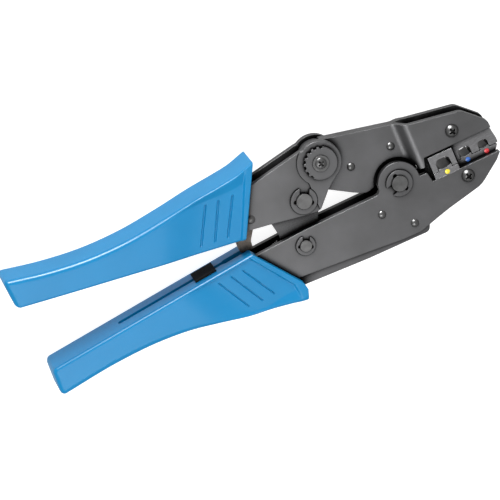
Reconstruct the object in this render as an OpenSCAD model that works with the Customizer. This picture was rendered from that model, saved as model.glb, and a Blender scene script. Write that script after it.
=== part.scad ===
// Ratchet crimping tool for insulated cable lugs, lying flat with the handles closed.
// +X runs from the handle ends to the nose, +Y from the fixed handle to the moving handle
// and +Z through the thickness. Outlines are drawn about the main jaw pivot and the
// mid-plane, and every part is then shifted so that the underside lies on z = 0.

/* [Pivots] */
// Distance of the adjuster pivot behind the jaw pivot
wheel_back = 28.8; // [28.6:0.1:29.2]
// Height of the adjuster pivot above the jaw pivot
wheel_up = 24.3; // [24.0:0.1:24.6]
// Distance of the upper link pivot behind the jaw pivot
link_top_back = 42; // [41.8:0.1:42.2]
// Height of the upper link pivot above the jaw pivot
link_top_up = 11.2; // [11.0:0.1:11.4]
// Distance of the lower link pivot behind the jaw pivot
link_low_back = 49; // [48.8:0.1:49.2]
// Depth of the lower link pivot below the jaw pivot
link_low_down = 8; // [7.8:0.1:8.2]
// Distance of the pawl pivot behind the jaw pivot
pawl_back = 66.7; // [66.4:0.1:67]
// Height of the pawl pivot above the jaw pivot
pawl_up = 13.6; // [13.3:0.1:13.9]

/* [Plates] */
// Thickness of every steel side plate
plate_t = 3; // [2.8:0.1:3]
// Half of the gap between the outer side plates
gap_half = 4; // [4:0.1:4.2]
// Radius of the boss around the jaw pivot
boss_r = 9.5; // [9.2:0.1:9.6]
// Radius of the relief in the jaw around that boss
relief_r = 10.7; // [10.6:0.1:10.9]
// Radius of the rounded handle end around the adjuster
handle_end_r = 9.7; // [9.2:0.1:9.8]

/* [Pins] */
// Radius of the jaw pivot pin
jaw_pin_r = 3.6; // [3.4:0.1:3.8]
// Radius of the upper link pin
top_pin_r = 3.5; // [3.3:0.1:3.7]
// Radius of the lower link pin
low_pin_r = 2.6; // [2.5:0.1:2.8]
// Radius of the pawl pin
pawl_pin_r = 1.7; // [1.6:0.1:1.8]
// Radial play of a pin that turns in its bore
run_fit = 0.05; // [0.02:0.01:0.08]

/* [Adjuster] */
// Radius of the notched adjusting wheel
wheel_r = 7.5; // [7.2:0.1:7.6]
// Number of notches in the wheel rim
notch_count = 8; // [6:1:8]
// Thickness of the adjuster plate that the wheel sits on
cover_t = 0.6; // [0.5:0.1:0.7]
// Offset of the eccentric from the adjuster axis
eccentric = 0.25; // [0.1:0.05:0.3]
// Radius of the eccentric
eccentric_r = 3.2; // [3:0.1:3.3]
// Radius of the hole that the eccentric works in
eccentric_hole_r = 4.5; // [4.4:0.1:4.6]

/* [Dies] */
// Gap between the closed dies
die_gap = 0.35; // [0.3:0.05:0.5]
// Height of the parting line below the jaw pivot
parting_down = 3.3; // [3.2:0.05:3.4]
// Side play of each lower die tongue in its upper nest
tongue_play = 0.35; // [0.3:0.05:0.4]

/* [Grips] */
// Half of the thickness of both grips
grip_half = 10.5; // [10:0.1:11]
// Half of the width of the slot along the lower grip
slot_half = 1.6; // [1.4:0.1:1.8]
// Half of the width of that slot where the release tab swings in it
tab_slot_half = 2.6; // [2.4:0.1:2.8]
// Half of the width of the rubber stop
stop_half = 5.8; // [5.4:0.1:6.2]
// Height of the rubber stop above the lower grip
stop_rise = 1.3; // [1:0.1:1.6]
// Depth of that slot
slot_depth = 5; // [4.5:0.1:5.5]

/* [Ratchet] */
// Radius over the ratchet teeth, about the upper link pin
ratchet_r = 17.6; // [17.4:0.1:17.8]
// Depth of one ratchet tooth
tooth_depth = 1.2; // [1:0.1:1.4]
// Number of ratchet teeth
tooth_count = 17; // [14:1:18]

/* [Return spring] */
// Mean radius of the spring coils
coil_r = 2.1; // [1.9:0.1:2.2]
// Radius of the spring wire
wire_r = 0.45; // [0.4:0.05:0.5]

/* [Hidden] */
$fn = 48;

wheel_at = [-wheel_back, wheel_up];
link_top = [-link_top_back, link_top_up];
link_low = [-link_low_back, -link_low_down];
pawl_at = [-pawl_back, pawl_up];
frame_rivet_at = [[-12.5, -10.2], [-0.5, -20.3]];
jaw_rivet_at = [[3.2, 15.7], [-16.5, 14.8]];
upper_screw_at = [30.4, 11.6];
lower_screw_at = [29.5, -10.6];
spring_hook_at = [-55.8, -4.4];
spring_pin_at = [-88, -13.4];
frame_tail_at = [[-104, -13.6], [-143, -16]];
handle_tail_at = [[-98, 19.5], [-143, 24]];

plate_out = gap_half + plate_t;
tail_t = 3;
head_h = 1.6;
clip_t = 0.9;
groove_r_step = 0.7;
seat = 0.02;

// extreme points of the closed tool, which centre it on its origin
heel_x = -177.6;
nose_x = 47.9;
top_y = 38.4;
low_y = -31;
place = [-(heel_x + nose_x) / 2, -(top_y + low_y) / 2, grip_half];

steel = "#5c5d5f";
bright = "#8b8c8e";
blue = "#2f93cf";
black = "#1d1d1f";

// outline helpers: each point is [x, y, corner radius]
corner_steps = 6;
function unit(v) = v / norm(v);
function xy(p) = [p[0], p[1]];
function turn(a) = a > 180 ? a - 360 : (a < -180 ? a + 360 : a);
function corner(a, p, b) =
    p[2] == 0 ? [xy(p)] :
    let (
        u = unit(xy(a) - xy(p)),
        v = unit(xy(b) - xy(p)),
        half = acos(u * v) / 2,
        c = xy(p) + unit(u + v) * p[2] / sin(half),
        s = xy(p) + u * p[2] / tan(half) - c,
        e = xy(p) + v * p[2] / tan(half) - c,
        from = atan2(s.y, s.x),
        sweep = turn(atan2(e.y, e.x) - from)
    )
    [for (i = [0:corner_steps])
        c + p[2] * [cos(from + sweep * i / corner_steps), sin(from + sweep * i / corner_steps)]];
function rounded(pts) =
    let (n = len(pts))
    [for (i = [0:n - 1]) each corner(pts[(i + n - 1) % n], pts[i], pts[(i + 1) % n])];

module placed() translate(place) children();
module layer(z0, z1) translate([0, 0, z0]) linear_extrude(z1 - z0) children();
module shape(pts) polygon(rounded(pts));
module both_sides() {
    children();
    mirror([0, 0, 1]) children();
}
module rod(at, r, z0, z1) translate([at.x, at.y, z0]) cylinder(r = r, h = z1 - z0);

// ---- outlines ----
die_edge_y = -6.1;
jaw_edge_y = 5.6;
frame_pts = [
    [-150, -18, 1], [-95, -18.2, 8], [-60.5, -20.2, 12], [-24, -23.3, 12], [-7.6, -24.9, 8],
    [1, -25, 3], [5.3, -23.7, 3], [16, -20.8, 10], [33.6, -17.1, 12], [44.2, -9.4, 6],
    [47.2, die_edge_y, 0.4], [14, die_edge_y, 0.3], [13.1, -1.3, 0.6], [4, -1.2, 0],
    [-8, 5, 0], [-9.9, -1.2, 3], [-46.4, -1.4, 20], [-68.1, -2.6, 8], [-78, -3.4, 2],
    [-83, -9.6, 2], [-150, -15, 1]
];
handle_pts = [
    [-150, 21.8, 1], [-110, 16, 10], [-75, 10.2, 8], [-60.4, 7.8, 6], [-44, 4.7, 6],
    [-37, 3.8, 3.2], [-29.7, 11.6, 6], [-22.6, 17, 0], [-26, 33.5, 0], [-36, 32.3, 6],
    [-60.2, 27.9, 10], [-85, 26.4, 10], [-120, 24.2, 10], [-150, 27, 1]
];
jaw_pts = [
    [47, jaw_edge_y, 0], [46.7, 9.1, 3], [37.4, 18.2, 5], [13.8, 22.5, 4], [9.2, 24.2, 3],
    [-24.5, 32.2, 0], [-36, 22, 0], [-30, 9.9, 3], [-20.3, 3.7, 6], [-14.8, 0.6, 5],
    [-8, 2.4, 0], [0, -3, 0], [10, 1.2, 0], [13.2, 1.3, 0.5], [14.3, jaw_edge_y, 0.5]
];
// side view of the bent jaw plate, as [x, z, radius]
bend_start = 9;
bend_run = 3.8;
bend_pts = [
    [-60, 0, 0], [bend_start, 0, 2], [bend_start + bend_run, gap_half, 2.5], [60, gap_half, 0],
    [60, plate_out, 0], [bend_start + bend_run - 1, plate_out, 4],
    [bend_start - 1, tail_t, 4], [-60, tail_t, 0]
];
spacer_pts = [
    [-72, -19.4, 2], [-30, -20.6, 8], [-9, -19.8, 6], [-4, -16.4, 3], [3, -16.4, 3],
    [7, -22, 3], [4.6, -27.6, 2.6], [-24.8, -27.2, 8], [-56.6, -25.6, 8], [-72, -25, 2]
];
// both grips, front edge first
lower_grip_pts = [
    [-71.8, -0.4, 1], [-57.4, -21.8, 6], [-56.8, -30, 1], [-58.6, low_y, 0],
    [-65.2, -28.4, 10], [-73.3, -26.8, 20], [-83.3, -25.4, 20], [-97.6, -22.3, 30],
    [-109.6, -19.9, 30], [-126.8, -19.3, 60], [-144.4, -19.8, 60], [-174.2, -22.6, 2],
    [-173.6, -10.2, 2]
];
upper_grip_pts = [
    [-56.6, top_y, 0], [-60.2, 29.9, 10], [-72.6, 7.2, 2], [-77.5, 7.9, 4], [-93.6, 10.2, 40],
    [-126.6, 15.6, 80], [-150.3, 18.5, 60], [-176.6, 23.2, 3], [heel_x, 36.2, 0],
    [-157.4, 31.4, 60], [-139.6, 29.3, 40], [-121.1, 28.9, 40], [-101.6, 31, 60],
    [-86.2, 33.2, 40], [-73.2, 34.2, 20]
];
// top line of the lower grip, used by the slot and by what stands in it
grip_line = [-76, -0.8];
grip_slope = atan2(9.4, 97.6);
slot_back = -138.4;

// ---- shared hardware ----
module plate(side) mirror([0, 0, side < 0 ? 1 : 0]) layer(gap_half, plate_out) children();
module domed_rivet(at, r, reach, dome) {
    rod(at, r, -reach, reach);
    both_sides() translate([at.x, at.y, reach]) intersection() {
        translate([0, 0, dome - dome_r(r * 1.18, dome)]) sphere(r = dome_r(r * 1.18, dome));
        cylinder(r = r * 1.18, h = dome);
    }
}
function dome_r(r, h) = (r * r + h * h) / (2 * h);
module clip_pin(at, r) difference() {
    rod(at, r, -plate_out - head_h, plate_out + head_h);
    both_sides() rod_groove(at, r, plate_out + seat, plate_out + seat + clip_t);
}
module rod_groove(at, r, z0, z1) difference() {
    rod(at, r + 1, z0, z1);
    rod(at, r - groove_r_step, z0 - 1, z1 + 1);
}
// spring clip that snaps into a pin groove, open towards the given angle
module pin_clip(at, r, outer_r, open_to) both_sides()
    translate([at.x, at.y, plate_out + seat]) rotate(open_to) linear_extrude(clip_t - seat)
    difference() {
        circle(r = outer_r);
        circle(r = r - groove_r_step + seat);
        translate([0, -r * 0.62]) square([outer_r + 1, r * 1.24]);
        for (side = [-1, 1]) rotate(side * 100) translate([r + 0.2, 0]) circle(r = r * 0.28);
    }
module pan_head(r, h, recess) difference() {
    intersection() {
        translate([0, 0, h - dome_r(r, h) * 1.02]) sphere(r = dome_r(r, h) * 1.02);
        cylinder(r = r, h = h);
    }
    for (a = [20, 110]) rotate(a) translate([-r * 0.55, -r * 0.15, h - recess])
        cube([r * 1.1, r * 0.3, h]);
    translate([0, 0, h - recess - 0.1]) cylinder(r = r * 0.27, h = h);
}
module die_screw(at) {
    rod(at, 2, -plate_out - 2, plate_out);
    translate([at.x, at.y, plate_out]) pan_head(3, 1.9, 1.1);
}
module die_nut(at) translate([at.x, at.y, -plate_out - 2]) difference() {
    rotate(15) cylinder(r = 3.6, h = 2, $fn = 6);
    translate([0, 0, -1]) cylinder(r = 2 + seat, h = 4);
}

// ---- fixed frame ----
module frame_plate(side) color(steel) placed() difference() {
    plate(side) union() {
        shape(frame_pts);
        circle(r = boss_r);
    }
    rod([0, 0], jaw_pin_r + seat, -10, 10);
    rod(link_low, low_pin_r + seat, -10, 10);
    for (at = frame_rivet_at) rod(at, 1.6 + seat, -10, 10);
    for (at = frame_tail_at) rod(at, 1.5 + seat, -10, 10);
    rod(lower_screw_at, 2 + seat, -10, 10);
    rod(spring_pin_at, 1.5 + seat, -10, 10);
}
module frame_plate_front() frame_plate(1);
module frame_plate_rear() frame_plate(-1);
module frame_spacer() color(steel) placed() difference() {
    layer(-gap_half, gap_half) shape(spacer_pts);
    rod(frame_rivet_at[1], 1.6 + seat, -10, 10);
}
module frame_bush() color(bright) placed() difference() {
    rod(frame_rivet_at[0], 3, -gap_half, gap_half);
    rod(frame_rivet_at[0], 1.6 + seat, -10, 10);
}
module frame_rivets() color(bright) placed()
    for (at = frame_rivet_at) domed_rivet(at, 1.6, plate_out, 0.9);
module frame_tail() intersection() {
    shape(frame_pts);
    translate([-160, -40]) square([64, 60]);
}
module frame_tail_core() color(steel) placed() difference() {
    layer(-gap_half, gap_half) frame_tail();
    for (at = frame_tail_at) rod(at, 1.5 + seat, -10, 10);
}
module frame_tail_rivets() color(bright) placed()
    for (at = frame_tail_at) rod(at, 1.5, -plate_out, plate_out);
module jaw_pivot_pin() color(bright) placed() clip_pin([0, 0], jaw_pin_r);
module jaw_pivot_clips() color(steel) placed() pin_clip([0, 0], jaw_pin_r, 6, 200);
module link_pin_lower() color(bright) placed() clip_pin(link_low, low_pin_r);
module link_pin_lower_clips() color(steel) placed() pin_clip(link_low, low_pin_r, 4.4, 65);
module spring_anchor_pin() color(bright) placed() rod(spring_pin_at, 1.5, -plate_out, plate_out);

// ---- dies ----
// each nest is [x, width, top, corner radius]
nests = [[21.5, 6.8, 2.1, 2.2], [32.5, 5.8, 1.5, 1.9], [41.4, 4.8, 0.8, 1.6]];
wide_die = [15.7, 27.3];
root_half = gap_half - 0.6;
foot_y = -parting_down + die_gap / 2;
shoulder_y = -parting_down - die_gap / 2;
tongue_y = -2.3;
module nest_arch(n) translate([n[0], 0]) {
    translate([-n[1] / 2, -8]) square([n[1], 8 + n[2] - n[3]]);
    for (s = [-1, 1]) translate([s * (n[1] / 2 - n[3]), n[2] - n[3]]) circle(r = n[3]);
    translate([-n[1] / 2 + n[3], n[2] - n[3]]) square([n[1] - 2 * n[3], n[3]]);
}
module nest_tongue(n) translate([n[0], 0]) difference() {
    translate([-n[1] / 2 + tongue_play, shoulder_y - 1])
        square([n[1] - 2 * tongue_play, tongue_y - shoulder_y + 1]);
    translate([0, tongue_y + n[1] * 0.75 - 0.5]) circle(r = n[1] * 0.75);
}
module upper_die() color(bright) placed() difference() {
    union() {
        layer(-gap_half, gap_half) shape([
            [14.6, foot_y, 0.4], [nose_x, foot_y, 0.4], [nose_x, -1, 1], [46.8, 5, 0.5], [44.5, 10, 1],
            [37, 16, 1], [14.6, 16, 1]
        ]);
        layer(-plate_out, plate_out) translate([wide_die[0], foot_y])
            square([wide_die[1] - wide_die[0], jaw_edge_y - 1 - foot_y]);
        layer(-root_half, root_half) translate([13.2, foot_y]) square([2, 12]);
        layer(-plate_out, 0) translate([wide_die[1] - 1, foot_y])
            square([46.2 - wide_die[1] + 1, jaw_edge_y - 1 - foot_y]);
    }
    layer(-10, 10) for (n = nests) nest_arch(n);
    layer(gap_half - 1.2, 10) translate([wide_die[1], -5]) square([0.9, 5 + jaw_edge_y]);
    rod(upper_screw_at, 2 + seat, -10, 10);
}
module lower_die() color(bright) placed() difference() {
    union() {
        layer(-gap_half, gap_half) shape([
            [15.2, -14.5, 1], [38, -14.5, 1], [43.8, -8.8, 1], [47.6, shoulder_y, 0.4],
            [15.2, shoulder_y, 0.3]
        ]);
        layer(-root_half, root_half) translate([13.6, -14.5])
            square([2, shoulder_y + 14.5]);
        layer(-plate_out, gap_half) for (n = nests) nest_tongue(n);
        layer(-plate_out, plate_out) {
            translate([wide_die[0], die_edge_y + seat])
                square([wide_die[1] - wide_die[0], shoulder_y - die_edge_y - seat]);
            nest_tongue(nests[0]);
        }
        layer(-plate_out, 0) translate([wide_die[1] - 1, die_edge_y + seat])
            square([46 - wide_die[1] + 1, shoulder_y - die_edge_y - seat]);
    }
    rod(lower_screw_at, 2 + seat, -10, 10);
    for (i = [0:2]) rod(dot_at[i], dot_r + seat, dot_z[i] - 1, dot_z[i] + 1);
}
dot_r = 1.1;
dot_at = [[21.7, -4.75], [32.6, -4.7], [41.8, -4.75]];
dot_z = [plate_out, gap_half, gap_half];
module die_dot(i, tint) color(tint) placed() {
    rod(dot_at[i], dot_r, dot_z[i] - 0.9, dot_z[i] + 0.05);
    translate([dot_at[i].x, dot_at[i].y, dot_z[i] + 0.05]) intersection() {
        translate([0, 0, 0.3 - dome_r(dot_r, 0.3)]) sphere(r = dome_r(dot_r, 0.3));
        cylinder(r = dot_r, h = 0.3);
    }
}
module die_dot_yellow() die_dot(0, "#e8d22c");
module die_dot_blue() die_dot(1, "#2b62b8");
module die_dot_red() die_dot(2, "#d2323c");
module lower_die_screw() color(bright) placed() die_screw(lower_screw_at);
module lower_die_nut() color(steel) placed() die_nut(lower_screw_at);
module upper_die_screw() color(bright) placed() die_screw(upper_screw_at);
module upper_die_nut() color(steel) placed() die_nut(upper_screw_at);

// ---- lower grip, and what sits in its slot ----
module along_slot(x0, x1, drop0, drop1) translate(grip_line) rotate(grip_slope)
    translate([x0 - grip_line.x, -drop1]) square([x1 - x0, drop1 - drop0]);
module lower_grip() color(blue) placed() difference() {
    layer(-grip_half, grip_half) shape(lower_grip_pts);
    layer(-plate_out, plate_out) shape(frame_pts);
    layer(-gap_half, gap_half) shape(spacer_pts);
    layer(-slot_half, slot_half) along_slot(slot_back, -84, -20, slot_depth);
    layer(-tab_slot_half, tab_slot_half) along_slot(-86, 10, -20, slot_depth);
    layer(-gap_half - 0.2, gap_half + 0.2) along_slot(-73.5, 10, -20, slot_depth);
    layer(-gap_half, gap_half) intersection() {
        translate([-95, -17.5]) square([60, 15]);
        along_slot(-110, 20, 2, 40);
    }
}
module handle_stop() color(black) placed() {
    layer(-stop_half, stop_half) along_slot(-100, -89.5, -stop_rise, -seat);
    layer(-slot_half + 0.1, slot_half - 0.1) along_slot(-100, -89.5, -0.5, slot_depth);
}

// ---- return spring, from the link to its anchor pin ----
spring_run = spring_hook_at - spring_pin_at;
spring_len = norm(spring_run);
coil_from = coil_r + 0.7 * wire_r;
coil_to = spring_len - coil_from;
coil_turns = floor((coil_to - coil_from) / (1.9 * wire_r));
coil_pitch = (coil_to - coil_from) / coil_turns;
module wire_ring() rotate_extrude() translate([coil_r, 0]) circle(r = wire_r, $fn = 16);
module spring_coils() rotate([0, 90, 0]) rotate_extrude() {
    for (i = [0:coil_turns])
        translate([coil_r, coil_from + i * coil_pitch]) circle(r = wire_r, $fn = 16);
    translate([coil_r - wire_r / 2, coil_from]) square([wire_r, coil_to - coil_from]);
}
module return_spring() color(bright) placed()
    translate([spring_pin_at.x, spring_pin_at.y, 0])
    rotate(atan2(spring_run.y, spring_run.x)) {
        wire_ring();
        spring_coils();
        for (s = [coil_from, coil_to])
            translate([s, 0, 0]) rotate([-90, 0, 0]) cylinder(r = wire_r, h = coil_r, $fn = 16);
        translate([spring_len - coil_r, 0, 0]) rotate([90, 0, 0]) wire_ring();
    }

// ---- moving jaw ----
module jaw_plate(side) color(steel) placed() mirror([0, 0, side < 0 ? 1 : 0]) difference() {
    intersection() {
        layer(0, plate_out) union() {
            shape(jaw_pts);
            circle(r = boss_r - 0.7);
            translate(wheel_at) circle(r = 8.3);
        }
        translate([0, 60, 0]) rotate([90, 0, 0]) linear_extrude(120) shape(bend_pts);
    }
    rod([0, 0], relief_r, tail_t / 2, 10);
    rod([0, 0], 5 + seat, -1, 10);
    rod(wheel_at, eccentric_hole_r, -1, 10);
    for (at = jaw_rivet_at) rod(at, 1.6 + seat, -1, 10);
    rod(upper_screw_at, 2 + seat, -1, 10);
}
module jaw_plate_front() jaw_plate(1);
module jaw_plate_rear() jaw_plate(-1);
module jaw_rivets() color(bright) placed()
    for (at = jaw_rivet_at) domed_rivet(at, 1.6, tail_t, 0.9);
module jaw_pivot_bush() color(bright) placed() difference() {
    union() {
        rod([0, 0], 5, -gap_half + 0.1, gap_half - 0.1);
        both_sides() rod([0, 0], 8.3, tail_t / 2, gap_half - 0.1);
    }
    rod([0, 0], jaw_pin_r + run_fit, -10, 10);
}

// ---- moving handle ----
module handle_plate(side) color(steel) placed() difference() {
    plate(side) union() {
        shape(handle_pts);
        translate(wheel_at) circle(r = handle_end_r);
    }
    rod(link_top, top_pin_r + seat, -10, 10);
    rod(wheel_at, 2.6 + run_fit, -10, 10);
    rod(pawl_at, pawl_pin_r + seat, -10, 10);
    for (at = handle_tail_at) rod(at, 1.5 + seat, -10, 10);
}
module handle_plate_front() handle_plate(1);
module handle_plate_rear() handle_plate(-1);
module handle_tail() intersection() {
    shape(handle_pts);
    translate([-160, -10]) square([68, 60]);
}
module handle_tail_core() color(steel) placed() difference() {
    layer(-gap_half, gap_half) handle_tail();
    for (at = handle_tail_at) rod(at, 1.5 + seat, -10, 10);
}
module handle_tail_rivets() color(bright) placed()
    for (at = handle_tail_at) rod(at, 1.5, -plate_out, plate_out);
module link_pin_upper() color(bright) placed() clip_pin(link_top, top_pin_r);
module link_pin_upper_clips() color(steel) placed() pin_clip(link_top, top_pin_r, 6, 65);
module upper_grip() color(blue) placed() difference() {
    layer(-grip_half, grip_half) shape(upper_grip_pts);
    layer(-plate_out, plate_out) shape(handle_pts);
    layer(-gap_half, gap_half) translate([-84, 0]) square([30, 24]);
}
module pawl_pin() color(bright) placed() domed_rivet(pawl_at, pawl_pin_r, plate_out, 0.5);
module pawl_spring() color(bright) placed() translate([pawl_at.x, pawl_at.y, 3.1])
    rotate_extrude() for (i = [-1:1]) translate([2.6, i * 0.5]) circle(r = 0.28, $fn = 16);

// ---- adjuster: plate, wheel, eccentric shaft, screw and rear washer ----
cover_z = plate_out + seat;
wheel_z = cover_z + cover_t + 0.1;
wheel_t = 1.5;
collar_t = 0.4;
module adjuster_plate() color(steel) placed() difference() {
    layer(cover_z, cover_z + cover_t) intersection() {
        union() {
            shape(handle_pts);
            translate(wheel_at) circle(r = handle_end_r);
        }
        union() {
            translate(wheel_at) circle(r = 10.4);
            translate([-36.8, 0]) square([30, 22]);
        }
    }
    rod(link_top, 6.3, 0, 12);
    rod(wheel_at, 2.6 + run_fit, 0, 12);
}
module adjust_wheel() color(steel) placed() difference() {
    rod(wheel_at, wheel_r, wheel_z, wheel_z + wheel_t);
    for (i = [0:notch_count - 1])
        rod(wheel_at + wheel_r * [cos(68 + 21 * i), sin(68 + 21 * i)], 0.85, 0, 12);
    rod(wheel_at, 2.6, 0, 12);
}
module adjust_shaft() color(bright) placed() difference() {
    union() {
        rod(wheel_at, 2.6, -plate_out - 1.4, wheel_z + wheel_t);
        rod(wheel_at, 3.7, wheel_z + wheel_t, wheel_z + wheel_t + collar_t);
        rod(wheel_at + [eccentric, 0], eccentric_r, -tail_t - 0.5, tail_t + 0.5);
    }
    rod(wheel_at, 1.5, 0, 12);
}
module adjust_screw() color(bright) placed() {
    rod(wheel_at, 1.5, 0, wheel_z + wheel_t + collar_t);
    translate([wheel_at.x, wheel_at.y, wheel_z + wheel_t + collar_t]) pan_head(2.6, 0.8, 0.6);
}
module adjust_rear_washer() color(steel) placed() difference() {
    rod(wheel_at, 5.4, -plate_out - 1.3, -plate_out - 0.1);
    rod(wheel_at, 2.6 + seat, -12, 0);
}

// ---- toggle link with its ratchet sector ----
ratchet_from = 122;
ratchet_to = 190;
ratchet_step = (ratchet_to - ratchet_from) / tooth_count;
function on_sector(r, a) = link_top + r * [cos(a), sin(a)];
module ratchet_sector() polygon(concat(
    [link_top],
    [for (i = [0:tooth_count - 1]) each [
        on_sector(ratchet_r - tooth_depth, ratchet_from + i * ratchet_step),
        on_sector(ratchet_r, ratchet_from + (i + 0.8) * ratchet_step)
    ]],
    [on_sector(ratchet_r - tooth_depth, ratchet_to)],
    [[-58.4, 4.6], [-57, -3.4], [-50, -8]]
));
module toggle_link() color(steel) placed() difference() {
    union() {
        layer(-tail_t, tail_t) ratchet_sector();
        rod(link_top, 7.6, -tail_t, tail_t);
        rod(link_low, 6.2, -tail_t, tail_t);
        layer(-tail_t, tail_t) shape([
            [-34.6, 9, 2], [-38.9, -0.6, 6], [-43, -10, 4], [-54, -11, 4], [-58, -3, 3],
            [-50, 14, 3]
        ]);
    }
    rod(link_top, top_pin_r + run_fit, -10, 10);
    rod(link_low, low_pin_r + run_fit, -10, 10);
    rod(spring_hook_at, 0.8, -10, 10);
    both_sides() layer(1.1, 10) translate([-64, -14]) square([11.2, 12.2]);
}
module link_washers() color(bright) placed() both_sides() difference() {
    rod(link_top, 6, tail_t, gap_half - 0.1);
    rod(link_top, top_pin_r + run_fit, 0, 10);
}

// ---- pawl with its release tab ----
module release_pawl() color("#6b645c") placed() difference() {
    union() {
        rod(pawl_at, 4.2, -2, 2);
        layer(-2, 2) shape([
            [-64.5, 17, 1], [-59.95, 12.8, 0.3], [-60.4, 11, 0.5], [-67, 7.6, 2],
            [-70, 3, 2], [-70.4, -1, 1], [-76.4, -0.6, 1.5], [-76.2, 5.4, 3], [-70.6, 14.4, 2]
        ]);
    }
    rod(pawl_at, pawl_pin_r + run_fit, -10, 10);
}

frame_plate_front();
frame_plate_rear();
frame_spacer();
frame_bush();
frame_rivets();
frame_tail_core();
frame_tail_rivets();
jaw_pivot_pin();
jaw_pivot_clips();
link_pin_lower();
link_pin_lower_clips();
lower_die();
lower_die_screw();
lower_die_nut();
die_dot_yellow();
die_dot_blue();
die_dot_red();
lower_grip();
handle_stop();
return_spring();
spring_anchor_pin();
jaw_plate_front();
jaw_plate_rear();
jaw_rivets();
jaw_pivot_bush();
upper_die();
upper_die_screw();
upper_die_nut();
handle_plate_front();
handle_plate_rear();
handle_tail_core();
handle_tail_rivets();
link_pin_upper();
link_pin_upper_clips();
upper_grip();
pawl_pin();
pawl_spring();
adjuster_plate();
adjust_wheel();
adjust_shaft();
adjust_screw();
adjust_rear_washer();
toggle_link();
link_washers();
release_pawl();
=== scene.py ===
"""Looks of the ratchet crimping tool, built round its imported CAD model.

The steel parts are the CAD's own, with rounded edges and procedural materials. The two
plastic grips and the wound return spring are modelled here and stand for their CAD nodes.
"""

import math

import bmesh
import bpy
import numpy as np
from mathutils import Matrix, Vector


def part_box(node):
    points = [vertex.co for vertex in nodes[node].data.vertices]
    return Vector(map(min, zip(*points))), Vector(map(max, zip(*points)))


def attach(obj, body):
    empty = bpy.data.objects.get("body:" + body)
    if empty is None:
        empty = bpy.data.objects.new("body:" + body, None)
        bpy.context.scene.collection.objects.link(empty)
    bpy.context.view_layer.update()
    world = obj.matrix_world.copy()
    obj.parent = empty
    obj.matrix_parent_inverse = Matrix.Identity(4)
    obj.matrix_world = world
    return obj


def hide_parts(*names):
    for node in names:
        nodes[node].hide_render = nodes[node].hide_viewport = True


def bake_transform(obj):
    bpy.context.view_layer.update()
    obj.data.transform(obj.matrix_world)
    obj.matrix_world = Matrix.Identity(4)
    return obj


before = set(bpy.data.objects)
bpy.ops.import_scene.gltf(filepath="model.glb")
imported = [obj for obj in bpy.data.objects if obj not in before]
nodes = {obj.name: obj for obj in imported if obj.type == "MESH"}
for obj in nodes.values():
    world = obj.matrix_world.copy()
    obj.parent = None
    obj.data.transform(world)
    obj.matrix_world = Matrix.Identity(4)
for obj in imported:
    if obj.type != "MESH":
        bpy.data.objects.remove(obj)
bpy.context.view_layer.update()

MM = 0.001


# ---------- places, taken from the CAD ----------
def centre(node):
    low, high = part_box(node)
    return (low + high) / 2


PIVOT = centre("jaw_pivot_pin")


def at(x, y, z=0.0):
    """A point given in millimetres from the jaw pivot, with z from the tool's mid-plane."""
    return PIVOT + Vector((x, y, z)) * MM


# ---------- material nodes ----------
DRIFT_DETAIL = 3.0
GRAIN_DETAIL = 4.0
# noise values at the two ends of the colour range and of the roughness range
DRIFT_RANGE = (0.3, 0.7)
GRAIN_RANGE = (0.35, 0.65)
RECESS_SAMPLES = 8
EDGE_SAMPLES = 6
# numbers of the colour sockets on a mix node
MIX_A, MIX_B, MIX_RESULT = 6, 7, 2


def add_node(tree, kind, **values):
    made = tree.nodes.new(kind)
    for key, value in values.items():
        made.inputs[key.replace("_", " ")].default_value = value
    return made


def add_noise(tree, place, size, detail):
    noise = add_node(tree, "ShaderNodeTexNoise", Scale=1 / size, Detail=detail)
    tree.links.new(place, noise.inputs["Vector"])
    return noise.outputs["Fac"]


def drifting_colour(tree, drift, dark, light):
    """A colour that goes from dark to light as the drift rises."""
    ramp = tree.nodes.new("ShaderNodeValToRGB")
    elements = ramp.color_ramp.elements
    for element, position, colour in zip(elements, DRIFT_RANGE, (dark, light)):
        element.position = position
        element.color = (*colour, 1)
    tree.links.new(drift, ramp.inputs["Fac"])
    return ramp.outputs["Color"]


def painted_shade_colour(tree, colour, reach, black, unshaded):
    """The colour with painted shade, darkened where surfaces within the reach close a spot in:
    fully below the openness black, and not at all above the openness unshaded."""
    # ambient occlusion, turned into painted shade on the colour
    recess = add_node(tree, "ShaderNodeAmbientOcclusion", Distance=reach)
    recess.samples = RECESS_SAMPLES
    shade = add_node(tree, "ShaderNodeMapRange", From_Min=black, From_Max=unshaded)
    tree.links.new(recess.outputs["AO"], shade.inputs["Value"])
    darken = add_node(tree, "ShaderNodeMix", Factor=1.0)
    darken.data_type = "RGBA"
    darken.blend_type = "MULTIPLY"
    tree.links.new(colour, darken.inputs[MIX_A])
    tree.links.new(shade.outputs["Result"], darken.inputs[MIX_B])
    return darken.outputs[MIX_RESULT]


def varied_roughness(tree, grain, rough):
    """Roughness between the two values of rough, which follows the grain."""
    spread = add_node(tree, "ShaderNodeMapRange", From_Min=GRAIN_RANGE[0],
                      From_Max=GRAIN_RANGE[1], To_Min=rough[0], To_Max=rough[1])
    tree.links.new(grain, spread.inputs["Value"])
    return spread.outputs["Result"]


def grainy_normal(tree, grain, relief, edge):
    """A surface direction that follows the grain, and rounds edges over the edge width."""
    bump = add_node(tree, "ShaderNodeBump", Distance=relief, Strength=1.0)
    tree.links.new(grain, bump.inputs["Height"])
    if edge:
        soft = add_node(tree, "ShaderNodeBevel", Radius=edge)
        soft.samples = EDGE_SAMPLES
        tree.links.new(soft.outputs["Normal"], bump.inputs["Normal"])
    return bump.outputs["Normal"]


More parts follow.
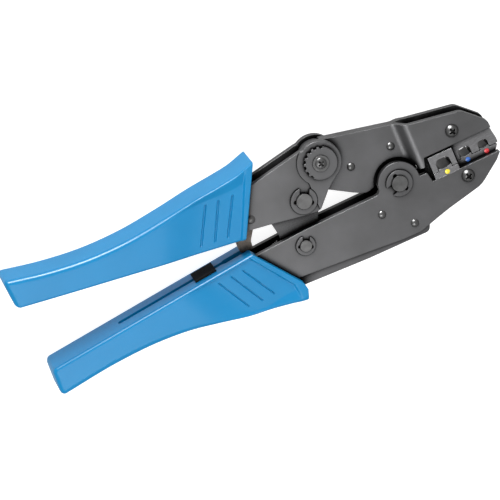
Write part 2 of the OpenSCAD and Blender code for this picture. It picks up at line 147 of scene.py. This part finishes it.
def surface(name, dark, light, patch, rough, grain, relief, stretch=(1, 1, 1), edge=0.0,
            painted_shade=(), **sockets):
    """A procedural material: colour drifts from dark to light in patches of the given size,
    roughness varies between two values, and a fine grain stands out by relief. Each painted
    shade darkens the colour in hollows: it gives a reach, and how open a spot has to be within
    that reach to be black or unshaded. Lengths are in metres."""
    material = bpy.data.materials.new(name)
    material.use_nodes = True
    tree = material.node_tree
    shader = tree.nodes["Principled BSDF"]
    mapping = add_node(tree, "ShaderNodeMapping", Scale=stretch)
    place = tree.nodes.new("ShaderNodeTexCoord").outputs["Object"]
    tree.links.new(place, mapping.inputs["Vector"])
    drift_noise = add_noise(tree, mapping.outputs["Vector"], patch, DRIFT_DETAIL)
    grain_noise = add_noise(tree, mapping.outputs["Vector"], grain, GRAIN_DETAIL)

    colour = drifting_colour(tree, drift_noise, dark, light)
    # painted shade: the colour is darkened where nearby surfaces close a spot in
    for recess in painted_shade:
        colour = painted_shade_colour(tree, colour, *recess)
    tree.links.new(colour, shader.inputs["Base Color"])
    tree.links.new(varied_roughness(tree, grain_noise, rough), shader.inputs["Roughness"])
    tree.links.new(grainy_normal(tree, grain_noise, relief, edge), shader.inputs["Normal"])
    for key, value in sockets.items():
        shader.inputs[key.replace("_", " ")].default_value = value
    return material


def grey(level, tint=0.0):
    return (level, level, level * (1 + tint))


# ---------- materials ----------
# painted shade in seams between parts, deep gaps between plates, and gaps in the dies. Each
# is a reach, and how open a spot within it has to be to be black or unshaded.
SEAM_SHADE = (2.8 * MM, 0.50, 0.92)
GAP_SHADE = (10 * MM, 0.52, 0.80)
DIE_GAP_SHADE = (6 * MM, 0.55, 0.82)

PLATE = surface(
    "plate_steel", grey(0.078, 0.02), grey(0.100, 0.03), patch=18 * MM, rough=(0.40, 0.50),
    grain=0.25 * MM, relief=0.004 * MM, edge=0.4 * MM, painted_shade=(SEAM_SHADE, GAP_SHADE), Metallic=0.9,
)
HARDWARE = surface(
    "hardware_steel", grey(0.078), grey(0.112), patch=3 * MM, rough=(0.28, 0.40),
    grain=0.3 * MM, relief=0.004 * MM, edge=0.2 * MM, painted_shade=(SEAM_SHADE, GAP_SHADE), Metallic=0.9,
)
DIE = surface(
    "die_steel", grey(0.15, 0.02), grey(0.22, 0.03), patch=1.5 * MM, rough=(0.30, 0.42),
    grain=0.2 * MM, relief=0.006 * MM, stretch=(1, 4, 1), edge=0.15 * MM,
    painted_shade=(SEAM_SHADE, DIE_GAP_SHADE), Metallic=0.85,
)
SPRING = surface(
    "spring_steel", grey(0.25), grey(0.36), patch=2 * MM, rough=(0.2, 0.32),
    grain=0.3 * MM, relief=0.002 * MM, painted_shade=(GAP_SHADE,), Metallic=1.0,
)
PAWL = surface(
    "pawl_steel", (0.11, 0.09, 0.075), (0.16, 0.135, 0.115), patch=3 * MM, rough=(0.35, 0.5),
    grain=0.3 * MM, relief=0.006 * MM, edge=0.2 * MM, painted_shade=(GAP_SHADE,), Metallic=0.7,
)
RUBBER = surface(
    "stop_rubber", grey(0.003), grey(0.006), patch=2 * MM, rough=(0.75, 0.9),
    grain=0.4 * MM, relief=0.01 * MM, edge=0.3 * MM, Specular_IOR_Level=0.1,
)
GRIP = surface(
    "grip_plastic", (0.003, 0.170, 0.375), (0.004, 0.190, 0.415), patch=30 * MM,
    rough=(0.29, 0.35), grain=0.5 * MM, relief=0.0025 * MM, Specular_IOR_Level=0.2,
)
FLOOR = surface(
    "floor_paper", grey(0.44), grey(0.46), patch=80 * MM, rough=(0.8, 0.9), grain=1.5 * MM,
    relief=0.01 * MM, Emission_Color=(1, 1, 1, 1), Emission_Strength=0.88,
)
# the darkest and the lightest colour of each painted dot
DOT_PAINTS = {
    "yellow": ((0.80, 0.62, 0.02), (0.90, 0.74, 0.05)),
    "blue": ((0.02, 0.10, 0.42), (0.04, 0.16, 0.55)),
    "red": ((0.60, 0.02, 0.03), (0.75, 0.05, 0.06)),
}


# ---------- finish of the CAD's own parts ----------
WELD_REACH = 0.001 * MM
EDGE_SEGMENTS = 2
EDGE_ANGLE = math.radians(35)
# each finish: its material, the width of its rounded edges and its nodes
FINISHES = [
    (PLATE, 0.0, "frame_plate_front frame_plate_rear frame_tail_core handle_tail_core"),
    (PLATE, 0.15 * MM, """jaw_plate_front jaw_plate_rear handle_plate_front
        handle_plate_rear frame_spacer toggle_link adjust_rear_washer"""),
    (PLATE, 0.1 * MM, """adjuster_plate adjust_wheel jaw_pivot_clips link_pin_upper_clips
        link_pin_lower_clips upper_die_nut lower_die_nut"""),
    (HARDWARE, 0.12 * MM, """jaw_pivot_pin link_pin_upper link_pin_lower adjust_shaft
        adjust_screw pawl_pin frame_rivets jaw_rivets upper_die_screw lower_die_screw
        frame_bush jaw_pivot_bush link_washers frame_tail_rivets handle_tail_rivets
        spring_anchor_pin"""),
    (DIE, 0.1 * MM, "upper_die"),
    (DIE, 0.0, "lower_die"),
    (SPRING, 0.0, "pawl_spring"),
    (PAWL, 0.2 * MM, "release_pawl"),
    (RUBBER, 0.3 * MM, "handle_stop"),
]


def shade_evenly(obj):
    even = obj.modifiers.new("even_shading", "WEIGHTED_NORMAL")
    even.keep_sharp = True


def finish_cad(node, material, edge):
    """Gives a CAD node its material and, if asked, a rounded edge that catches the light."""
    obj = nodes[node]
    obj.data.materials.clear()
    obj.data.materials.append(material)
    if not edge:
        return
    obj.modifiers.new("weld", "WELD").merge_threshold = WELD_REACH
    bevel = obj.modifiers.new("edge", "BEVEL")
    bevel.width = edge
    bevel.segments = EDGE_SEGMENTS
    bevel.limit_method = "ANGLE"
    bevel.angle_limit = EDGE_ANGLE
    shade_evenly(obj)


for material, edge, names in FINISHES:
    for node in names.split():
        finish_cad(node, material, edge)
for colour, (dark, light) in DOT_PAINTS.items():
    paint = surface(
        f"dot_{colour}", dark, light, patch=0.6 * MM, rough=(0.2, 0.3), grain=0.2 * MM,
        relief=0.002 * MM, Coat_Weight=0.6, Coat_Roughness=0.1,
    )
    finish_cad(f"die_dot_{colour}", paint, 0.0)


# ---------- shared shaping helpers ----------
CREASE_ANGLE = math.radians(40)


def ease(t):
    """0 before 0, 1 after 1, and smooth in between."""
    t = np.clip(t, 0, 1)
    return t * t * (3 - 2 * t)


def ramp(x, start, end):
    """0 before the start, 1 after the end, and smooth in between."""
    return ease((x - start) / (end - start))


def curve_through(points):
    """A function of x that runs smoothly through the given points, in order of x."""
    x, y = (np.array(v, float) for v in zip(*points))
    slope = np.gradient(y, x)

    def height(at_x):
        at_x = np.clip(at_x, x[0], x[-1])
        i = np.clip(np.searchsorted(x, at_x, side="right") - 1, 0, len(x) - 2)
        step = x[i + 1] - x[i]
        u = (at_x - x[i]) / step
        return (
            y[i] * (1 + 2 * u) * (1 - u) ** 2 + y[i + 1] * u * u * (3 - 2 * u)
            + step * (slope[i] * u * (1 - u) ** 2 - slope[i + 1] * u * u * (1 - u))
        )

    return height


def from_segment(x, y, a, b):
    """Distance of each point x, y from the line between a and b."""
    ax, ay = a
    dx, dy = b[0] - ax, b[1] - ay
    t = np.clip(((x - ax) * dx + (y - ay) * dy) / (dx * dx + dy * dy), 0, 1)
    return np.hypot(x - ax - t * dx, y - ay - t * dy)


def new_piece(name, verts, faces, material):
    mesh = bpy.data.meshes.new(name)
    mesh.from_pydata([tuple(v) for v in verts], [], faces)
    mesh.validate()
    obj = bpy.data.objects.new(name, mesh)
    bpy.context.scene.collection.objects.link(obj)
    mesh.materials.append(material)
    mesh.shade_smooth()
    return obj


def prism(outline, half):
    """A closed slab over an outline in millimetres, used to cut pockets."""
    bm = bmesh.new()
    ring = [bm.verts.new(at(x, y, -half)) for x, y in outline]
    bottom = bm.faces.new(ring)
    top = bmesh.ops.extrude_face_region(bm, geom=[bottom])["geom"]
    moved = [v for v in top if isinstance(v, bmesh.types.BMVert)]
    bmesh.ops.translate(bm, verts=moved, vec=(0, 0, 2 * half * MM))
    bmesh.ops.recalc_face_normals(bm, faces=bm.faces)
    mesh = bpy.data.meshes.new("cutter")
    bm.to_mesh(mesh)
    bm.free()
    obj = bpy.data.objects.new("cutter", mesh)
    bpy.context.scene.collection.objects.link(obj)
    return obj


def cut(obj, cutters):
    """Cuts the closed cutters out of a piece, and removes them."""
    for cutter in cutters:
        boolean = obj.modifiers.new("cut", "BOOLEAN")
        boolean.operation = "DIFFERENCE"
        boolean.solver = "EXACT"
        boolean.object = cutter
        evaluated = obj.evaluated_get(bpy.context.evaluated_depsgraph_get())
        carved = bpy.data.meshes.new_from_object(evaluated)
        obj.modifiers.clear()
        obj.data = carved
        bpy.data.objects.remove(cutter)
    obj.data.shade_smooth()
    obj.data.set_sharp_from_angle(angle=CREASE_ANGLE)
    shade_evenly(obj)


# ---------- shape of both grips, in millimetres ----------
GRIP_HALF = (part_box("upper_grip")[1].z - PIVOT.z) / MM
HEEL_R = 2.2
FRONT_R = 0.5
# the grooved stretch, and the number of sections behind it, in it and ahead of it
GROOVED = (-96, -71)
SECTIONS = (60, 165, 24)
END_SECTIONS = 7
# points of a section along each corner, the side face and half of an edge face
CORNER_STEPS = 7
FACE_STEPS = 64
SIDE_STEPS = 6
# rounds in which the ends of a leaning section settle on the two edge lines
SETTLE_ROUNDS = 12
# how far behind the end of the grooved stretch the sections start to bow
BOW_LEAD = 6
PANEL_DEPTH = 1.0
RIM_WIDTH = 0.8
LIP_WIDTH = 2.1
LIP_STEP = 0.8
GROOVE_STEEPNESS = 1.6


def quarter(radius):
    """Distances of a quarter circle's points from the two faces that it joins."""
    a = np.linspace(0, math.pi / 2, CORNER_STEPS)
    return radius * (1 - np.cos(a)), radius * (1 - np.sin(a))


def half_ring(height, r_in, r_out):
    """Half of a grip's section from the middle of its inner edge to the middle of its
    outer edge: distances from the inner edge, and z."""
    rise_in, drop_in = quarter(r_in)
    rise_out, drop_out = quarter(r_out)
    side_in = np.linspace(0, GRIP_HALF - r_in, SIDE_STEPS)[:-1]
    side_out = np.linspace(GRIP_HALF - r_out, 0, SIDE_STEPS)[1:]
    face = np.linspace(r_in, height - r_out, FACE_STEPS)[1:-1]
    q = np.concatenate([
        np.zeros(len(side_in)), rise_in, face, height - rise_out[::-1],
        np.full(len(side_out), height),
    ])
    z = np.concatenate([
        side_in, GRIP_HALF - drop_in, np.full(len(face), GRIP_HALF),
        GRIP_HALF - drop_out[::-1], side_out,
    ])
    return q, z


def grip_stations(heel, front):
    """Where the sections stand along x, and how far each is drawn in to round the ends."""
    places = (heel, *GROOVED, front)
    axis = np.unique(np.concatenate([
        np.linspace(start, end, count)
        for start, end, count in zip(places, places[1:], SECTIONS)
    ]))
    turn = np.linspace(0, math.pi / 2, END_SECTIONS)
    stations = [(heel + HEEL_R * (1 - math.cos(a)), HEEL_R * (1 - math.sin(a))) for a in turn]
    stations += [(x, 0.0) for x in axis if heel + HEEL_R < x < front - FRONT_R]
    stations += [(front - FRONT_R * (1 - math.sin(a)), FRONT_R * (1 - math.cos(a))) for a in turn]
    return stations


def section_ends(spec, x_mid):
    """The ends of a section line, which leans as the spec says, on the two edge lines."""
    slant = float(spec["lean"](x_mid))
    x_in = x_out = x_mid
    for _ in range(SETTLE_ROUNDS):
        y_in, y_out = float(spec["inner"](x_in)), float(spec["outer"](x_out))
        y_mid = (y_in + y_out) / 2
        x_in, x_out = x_mid + slant * (y_in - y_mid), x_mid + slant * (y_out - y_mid)
    return x_in, y_in, x_out, y_out


def grip_section(spec, x_mid, inset):
    """The points of half a section, drawn in by the inset."""
    x_in, y_in, x_out, y_out = section_ends(spec, x_mid)
    height = math.hypot(x_out - x_in, y_out - y_in)
    q, z = half_ring(height, spec["r_in"], spec["r_out"](x_mid))
    share = q / height
    x = x_in + (x_out - x_in) * share
    y = y_in + (y_out - y_in) * share
    x = x + spec["bow"](share) * ramp(x_mid, GROOVED[1] - BOW_LEAD, spec["span"][1])
    z = z * (1 - spec["depth"](x, y, x_mid, height - q) / GRIP_HALF)
    shrink = 1 - 2 * inset / height
    x_centre, y_centre = (x_in + x_out) / 2, (y_in + y_out) / 2
    x = x_centre + (x - x_centre) * shrink
    y = y_centre + (y - y_centre) * shrink
    z = z * (1 - inset / GRIP_HALF)
    return list(zip(x, y, z))


def skin(rings):
    """Faces between each ring of points and the next."""
    faces = []
    for one, two in zip(rings, rings[1:]):
        n = len(one)
        faces += [(one[i], one[(i + 1) % n], two[(i + 1) % n], two[i]) for i in range(n)]
    return faces


def end_cap(ring, half):
    """Faces that close a ring, in strips that run through the grip's thickness. The first
    half of the ring's points are on its front side."""
    front_side = [ring[j] for j in range(half)]
    back_side = [ring[0]] + [ring[len(ring) - j] for j in range(1, half - 1)]
    back_side.append(ring[half - 1])
    last = half - SIDE_STEPS
    cap = [[*back_side[SIDE_STEPS:0:-1], *front_side[:SIDE_STEPS + 1]]]
    cap += [[front_side[j], front_side[j + 1], back_side[j + 1], back_side[j]]
            for j in range(SIDE_STEPS, last - 1)]
    cap.append([*front_side[last - 1:], *back_side[half - 2:last - 2:-1]])
    return cap


def make_grip(name, spec, body):
    """A grip, lofted through sections that run from its inner edge line to its outer one."""
    verts, rings = [], []
    for x_mid, inset in grip_stations(*spec["span"]):
        points = grip_section(spec, x_mid, inset)
        start = len(verts)
        verts += [at(x, y, z) for x, y, z in points]
        verts += [at(x, y, -z) for x, y, z in points[-2:0:-1]]
        rings.append(range(start, len(verts)))
    half = len(points)
    faces = skin(rings) + end_cap(rings[0], half)
    faces += [cap[::-1] for cap in end_cap(rings[-1], half)]
    obj = new_piece(name, verts, faces, GRIP)
    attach(obj, body)
    bm = bmesh.new()
    bm.from_mesh(obj.data)
    bmesh.ops.recalc_face_normals(bm, faces=bm.faces)
    bm.to_mesh(obj.data)
    bm.free()
    return obj


def panel_depth(x_mid, from_outer, from_lip, sinks, widens, widths):
    """Depth of the panel sunk in a grip's side. It sinks in over the stretch sinks. Its
    slope down from the outer edge goes from one width to the other over the stretch
    widens, and it ends at the lip."""
    width = widths[0] + (widths[1] - widths[0]) * ramp(x_mid, *widens)
    slope = np.clip((from_outer - RIM_WIDTH) / width, 0, 1)
    return PANEL_DEPTH * ramp(x_mid, *sinks) * slope * ease((from_lip - LIP_WIDTH) / LIP_STEP)


def grooves_depth(x, y, grooves, half_width, depth):
    """Depth of round-bottomed grooves, each given by the two ends of its middle line."""
    total = np.zeros_like(x)
    for a, b in grooves:
        inside = 1 - from_segment(x, y, a, b) / half_width
        total = np.maximum(total, depth * ease(GROOVE_STEEPNESS * inside))
    return total


# ---------- upper grip: its outer edge is the top, which flares up to the front ----------
UPPER_GROOVES = [
    ((-82.8, 29.0), (-91.5, 13.1)), ((-76.8, 28.3), (-85.0, 12.5)),
    ((-70.2, 27.7), (-79.0, 11.9)),
]
UPPER_FRONT = [(-55.8, 38.4), (-71.8, 7.2)]
# how much wider the front lip gets, and the heights between which it widens
UPPER_LIP_GAIN = 0.9
UPPER_LIP_WIDENS = (7, 38)


def upper_depth(x, y, x_mid, from_outer):
    lip = from_segment(x, y, *UPPER_FRONT) - UPPER_LIP_GAIN * ramp(y, *UPPER_LIP_WIDENS)
    panel = panel_depth(x_mid, from_outer, lip, sinks=(-108, -86), widens=(-100, -66),
                        widths=(1.2, 5.6))
    return panel + grooves_depth(x, y, UPPER_GROOVES, half_width=0.6, depth=0.75)


UPPER = {
    "inner": curve_through([
        (-177.5, 22.8), (-150.3, 18.5), (-126.6, 14.9), (-93.6, 9.9), (-77.5, 7.6),
        (-72.0, 6.9), (-60.0, 5.4),
    ]),
    "outer": curve_through([
        (-177.5, 36.6), (-157.4, 32.2), (-139.6, 29.9), (-121.1, 29.7), (-101.6, 31.6),
        (-86.2, 33.6), (-73.2, 34.8), (-66.0, 35.7), (-56.6, 38.3),
    ]),
    "lean": curve_through([(-177.5, -0.06), (-140, 0.12), (-95, 0.5), (-64, 0.52)]),
    "span": (-176.8, -64.2),
    "r_in": 1.2,
    "r_out": lambda x: 2.1 - 1.1 * ramp(x, -110, -80),
    "bow": lambda share: 0.0,
    "depth": upper_depth,
}


# ---------- lower grip: its outer edge is the underside, which flares down to the front ----------
LOWER_GROOVES = [
    ((-78.9, -5.7), (-70.4, -21.2)), ((-84.6, -6.1), (-76.3, -21.9)),
    ((-90.9, -6.3), (-83.0, -21.5)),
]
LOWER_FRONT = [(-71.9, -0.4), (-58.2, -20.6), (-57.2, -30)]
LOWER_RIDGE = [(-173.6, -9.9), (-71.9, -0.1)]
# the lip along the ridge is narrower than the front one by this factor
RIDGE_NARROWING = 2.0
# shares of a section's height, and how far each is bowed forward at the front
BOW_SHARES = [0, 0.6, 0.72, 0.84, 1]
BOW_REACH = [0, 4.2, 5.0, 4.0, 0]


def lower_depth(x, y, x_mid, from_outer):
    lip = np.minimum(from_segment(x, y, *LOWER_FRONT[:2]), from_segment(x, y, *LOWER_FRONT[1:]))
    lip = np.minimum(lip, RIDGE_NARROWING * from_segment(x, y, *LOWER_RIDGE))
    panel = panel_depth(x_mid, from_outer, lip, sinks=(-106, -86), widens=(-84, -68),
                        widths=(1.0, 6.0))
    return panel + grooves_depth(x, y, LOWER_GROOVES, half_width=0.42, depth=0.6)


LOWER = {
    "inner": curve_through([
        (-174.0, -9.9), (-150, -7.6), (-125, -5.2), (-100, -2.8), (-80, -0.9), (-66, 0.45),
    ]),
    "outer": curve_through([
        (-174.0, -23.0), (-144.4, -19.8), (-126.8, -19.4), (-109.6, -20.9), (-97.6, -23.4),
        (-83.3, -26.6), (-73.3, -27.9), (-65.2, -29.4), (-58.0, -30.9), (-55, -31),
    ]),
    "lean": curve_through([
        (-174.0, 0.05), (-140, -0.12), (-95, -0.5), (-78, -0.54), (-66, -0.5),
    ]),
    "span": (-173.8, -64.8),
    "r_in": 1.5,
    "r_out": lambda x: 2.2,
    "bow": lambda share: np.interp(share, BOW_SHARES, BOW_REACH),
    "depth": lower_depth,
}


# ---------- pockets in the grips, and the slot along the lower one ----------
PLATE_POCKET = GRIP_HALF - 2.9
CORE_POCKET = 4.0
UPPER_PLATES = [(-86, 11.2), (-76, 9.5), (-50, 5), (-50, 30), (-62, 28.7), (-86, 27.3)]
UPPER_CORE = [(-84, 0), (-40, 0), (-40, 24), (-84, 24)]
LOWER_PLATES = [(-86, -18.8), (-74, -25.2), (-45, -26.6), (-45, -0.2), (-69, -1.6),
                (-75, -2.9), (-84, -9.0)]
LOWER_CORE = [(-95, -17.5), (-50, -17.5), (-50, -2.5), (-76, -2.9), (-95, -4.8)]
SLOT_DEPTH = 5.0
SLOT_TOP = 9
# a point on the lower grip's top line, and the line's rise and run
SLOT_LINE = (-76, -0.8)
SLOT_SLOPE = math.atan2(9.4, 97.6)
# each part of the slot: where it starts and ends, and half of its width
SLOT_PARTS = [(-138.4, -84, 1.6), (-86, -40, 2.6), (-73.5, -40, 4.2)]
# share of the slot's half-width that rounds its rear end
SLOT_ROUNDING = 0.9
SLOT_ROUND_STEPS = 8
# an edge is at the rear end within this reach, and level if its ends differ less than this
SLOT_END_REACH = 2.5 * MM
LEVEL = 0.01 * MM


def slot_cutter(x_from, x_to, half):
    """A slab with a round rear end, standing along the top line of the lower grip."""
    along = Vector((math.cos(SLOT_SLOPE), math.sin(SLOT_SLOPE)))
    across = Vector((-along.y, along.x))
    corners = [(x_from, -SLOT_DEPTH), (x_to, -SLOT_DEPTH), (x_to, SLOT_TOP), (x_from, SLOT_TOP)]
    obj = prism([Vector(SLOT_LINE) + along * (x - SLOT_LINE[0]) + across * d
                 for x, d in corners], half)
    bm = bmesh.new()
    bm.from_mesh(obj.data)
    low_x = min(v.co.x for v in bm.verts)
    rear_edges = [e for e in bm.edges
                  if abs(e.verts[0].co.z - e.verts[1].co.z) < LEVEL
                  and max(v.co.x for v in e.verts) < low_x + SLOT_END_REACH]
    bmesh.ops.bevel(bm, geom=rear_edges, offset=half * SLOT_ROUNDING * MM,
                    segments=SLOT_ROUND_STEPS, affect="EDGES", profile=0.5)
    bm.to_mesh(obj.data)
    bm.free()
    return obj


upper_grip = make_grip("upper_grip_sleeve", UPPER, "handle")
cut(upper_grip, [prism(UPPER_PLATES, PLATE_POCKET), prism(UPPER_CORE, CORE_POCKET)])
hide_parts("upper_grip")

lower_grip = make_grip("lower_grip_sleeve", LOWER, "frame")
cut(lower_grip, [slot_cutter(*part) for part in SLOT_PARTS]
    + [prism(LOWER_PLATES, PLATE_POCKET), prism(LOWER_CORE, CORE_POCKET)])
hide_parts("lower_grip")


# ---------- return spring, in millimetres ----------
SPRING_ANCHOR = (-88, -13.4)
SPRING_HOOK = (-55.8, -4.4)
COIL_R = 2.1
WIRE_R = 0.45
COIL_PITCH = 2.05 * WIRE_R
# room between each end loop and the coils
LOOP_GAP = 0.4
# where each end loop starts and ends
ANCHOR_LOOP = (math.radians(70), 2 * math.pi)
HOOK_LOOP = (math.pi, math.pi + math.radians(290))
WIRE_SIDES = 10
COIL_STEPS = 20
LOOP_STEPS = 40


def sweep(name, points, radius, material):
    """A closed round wire along the points."""
    verts, faces = [], []
    side = Vector((0, 0, 1))
    for i, point in enumerate(points):
        ahead = points[min(i + 1, len(points) - 1)] - points[max(i - 1, 0)]
        ahead.normalize()
        side = (side - ahead * side.dot(ahead)).normalized()
        other = ahead.cross(side)
        for j in range(WIRE_SIDES):
            a = 2 * math.pi * j / WIRE_SIDES
            verts.append(point + (side * math.cos(a) + other * math.sin(a)) * radius)
    for i in range(len(points) - 1):
        for j in range(WIRE_SIDES):
            k = (j + 1) % WIRE_SIDES
            a, b = i * WIRE_SIDES, (i + 1) * WIRE_SIDES
            faces.append((a + j, a + k, b + k, b + j))
    end = (len(points) - 1) * WIRE_SIDES
    faces += [tuple(range(WIRE_SIDES))[::-1], tuple(range(end, end + WIRE_SIDES))]
    return new_piece(name, verts, faces, material)


def spring_path(anchor, hook):
    """A loop round the anchor pin, close coils, and a loop through the link."""
    run = hook - anchor
    length = run.length / MM
    along = run.normalized()
    across = Vector((-along.y, along.x, 0))
    up = Vector((0, 0, 1))
    first, last = COIL_R + LOOP_GAP, length - COIL_R - LOOP_GAP
    turns = int((last - first) / COIL_PITCH)
    local = [(COIL_R * math.cos(a), COIL_R * math.sin(a), 0)
             for a in np.linspace(*ANCHOR_LOOP, LOOP_STEPS)]
    for t in np.linspace(0, 1, turns * COIL_STEPS):
        a = 2 * math.pi * turns * t
        r = COIL_R * min(1, 2 * turns * t, 2 * turns * (1 - t))
        local.append((first + (last - first) * t, r * math.sin(a), r * math.cos(a)))
    local += [(length + COIL_R * math.cos(a), 0, COIL_R * math.sin(a))
              for a in np.linspace(*HOOK_LOOP, LOOP_STEPS)]
    return [anchor + (along * x + across * y + up * z) * MM for x, y, z in local]


anchor, hook = at(*SPRING_ANCHOR), at(*SPRING_HOOK)
spring = sweep("return_spring_coil", spring_path(anchor, hook), WIRE_R * MM, SPRING)
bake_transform(spring)
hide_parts("return_spring")


# ---------- stage, light and camera, in metres ----------
FLOOR_HALF = 4
WORLD_STRENGTH = 0.62
# the view's tilt off vertical, the way it tilts, counted from +X, and its roll
VIEW_TILT, VIEW_TOWARD, VIEW_ROLL = (math.radians(a) for a in (19.67, 102.74, 25.0))
# what the view is centred on: a point over the jaw pivot, shifted right and up in the view
VIEW_AIM = at(0, 0, 8.5)
VIEW_SHIFT = (-66.1 * MM, -29.25 * MM)
VIEW_DISTANCE = 2.0
VIEW_WIDTH = 220.3 * MM
# the sensor alone is in millimetres
SENSOR_WIDTH = 36


def make_floor():
    mesh = bpy.data.meshes.new("floor")
    corners = [(-1, -1), (1, -1), (1, 1), (-1, 1)]
    mesh.from_pydata([(x * FLOOR_HALF, y * FLOOR_HALF, 0) for x, y in corners], [],
                     [(0, 1, 2, 3)])
    obj = bpy.data.objects.new("floor", mesh)
    bpy.context.scene.collection.objects.link(obj)
    mesh.materials.append(FLOOR)
    obj.visible_glossy = False


def soft_light(name, direction, distance, size, power, fill=True, glint=True):
    """A square softbox that shines on the tool from a direction. Without fill it is only
    seen in reflections, and without glint it isn't seen in them."""
    data = bpy.data.lights.new(name, "AREA")
    data.shape = "SQUARE"
    data.size = size
    data.energy = power
    obj = bpy.data.objects.new(name, data)
    bpy.context.scene.collection.objects.link(obj)
    obj.visible_diffuse = fill
    obj.visible_glossy = glint
    offset = Vector(direction).normalized()
    obj.location = offset * distance
    obj.rotation_mode = "QUATERNION"
    obj.rotation_quaternion = offset.to_track_quat("Z", "Y")


def make_world():
    world = bpy.data.worlds.new("studio")
    bpy.context.scene.world = world
    world.use_nodes = True
    sky = world.node_tree.nodes["Background"]
    sky.inputs["Color"].default_value = (1, 1, 1, 1)
    sky.inputs["Strength"].default_value = WORLD_STRENGTH


def make_camera():
    back = Vector((math.sin(VIEW_TILT) * math.cos(VIEW_TOWARD),
                   math.sin(VIEW_TILT) * math.sin(VIEW_TOWARD), math.cos(VIEW_TILT)))
    level = (Vector((1, 0, 0)) - back * back.x).normalized()
    side = back.cross(level)
    right = level * math.cos(VIEW_ROLL) - side * math.sin(VIEW_ROLL)
    up = side * math.cos(VIEW_ROLL) + level * math.sin(VIEW_ROLL)
    data = bpy.data.cameras.new("camera")
    data.sensor_width = SENSOR_WIDTH
    data.lens = SENSOR_WIDTH * VIEW_DISTANCE / VIEW_WIDTH
    obj = bpy.data.objects.new("camera", data)
    bpy.context.scene.collection.objects.link(obj)
    target = VIEW_AIM + right * VIEW_SHIFT[0] + up * VIEW_SHIFT[1]
    turn = Matrix((right, up, back)).transposed().to_4x4()
    obj.matrix_world = Matrix.Translation(target + back * VIEW_DISTANCE) @ turn
    bpy.context.scene.camera = obj


make_floor()
make_camera()
make_world()
soft_light("key", (-0.15, -0.17, 0.47), distance=0.52, size=0.3, power=1.75)
soft_light("side", (0.0, 0.90, 0.42), distance=0.8, size=0.4, power=4.9, glint=False)
soft_light("rim", (0.07, 0.93, 0.36), distance=0.8, size=0.3, power=26, fill=False)
bpy.context.scene.view_settings.view_transform = "Standard"
